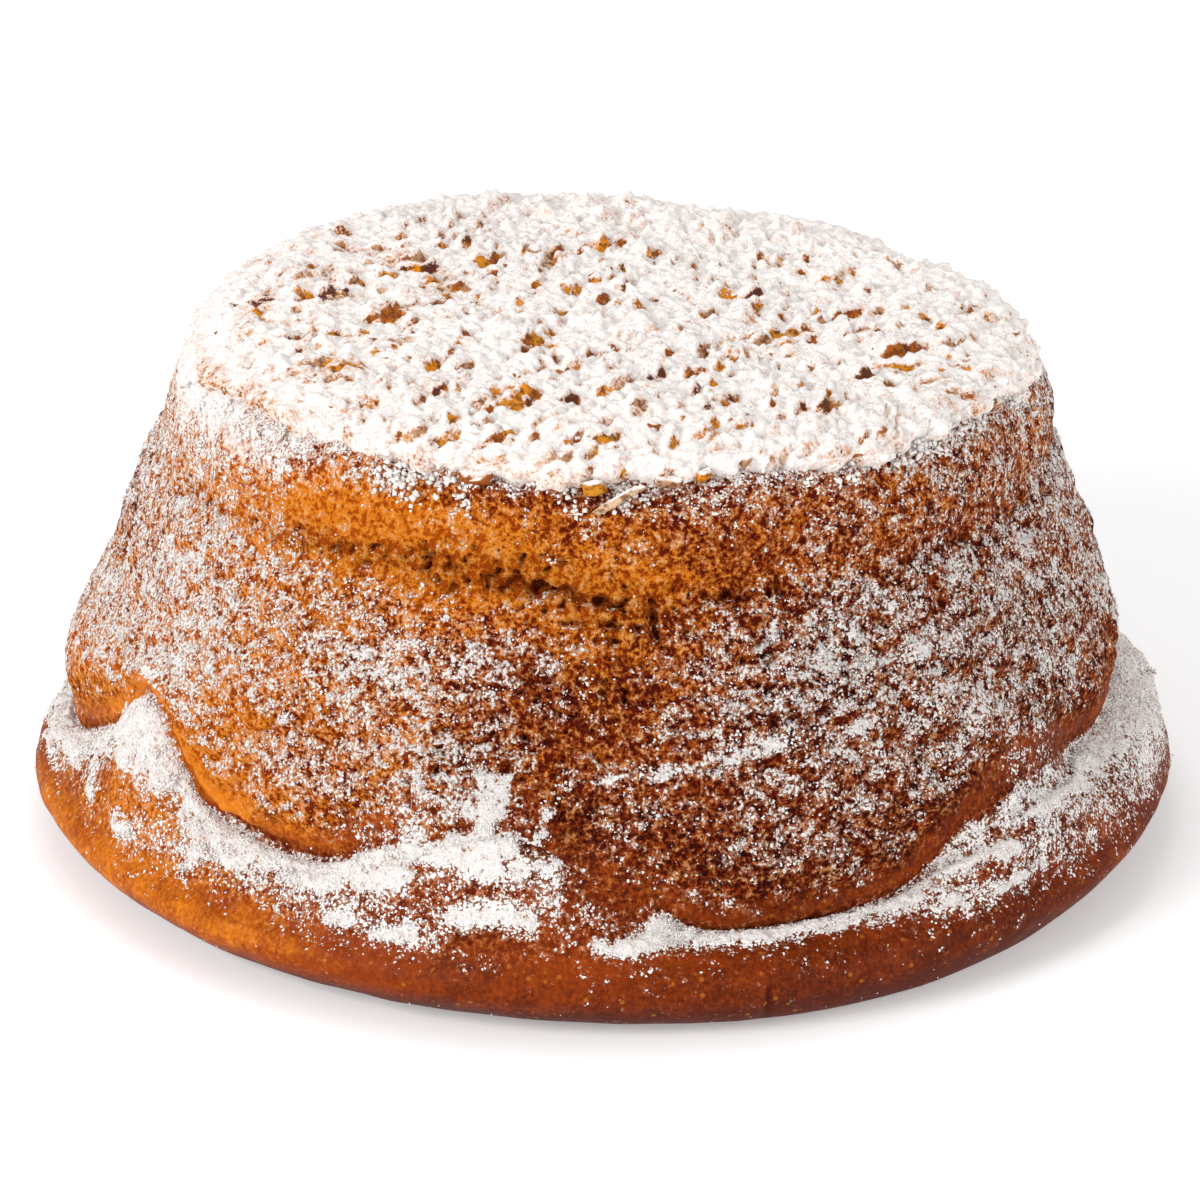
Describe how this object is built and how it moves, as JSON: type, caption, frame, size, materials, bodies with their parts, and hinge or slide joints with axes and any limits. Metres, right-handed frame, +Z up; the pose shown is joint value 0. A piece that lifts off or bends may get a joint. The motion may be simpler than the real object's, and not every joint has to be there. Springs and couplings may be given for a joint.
{
  "type": "offella cake",
  "caption": "Tall round leavened cake on a wide brim, with a lobed browned wall, a steep collar and a wide top under crumb, nuts and sugar.",
  "frame": {"origin": "middle of the cake's footprint, on the surface that the cake stands on", "axes": "+Z up, -Y towards the front of the cake as pictured, +X to its right"},
  "size_m": [0.2348, 0.231, 0.1089],
  "materials": {
    "crust": "matte",
    "sugar": "matte",
    "nuts": "satin"
  },
  "bodies": {
    "root": {"cake": "crust"}
  },
  "joints": []
}
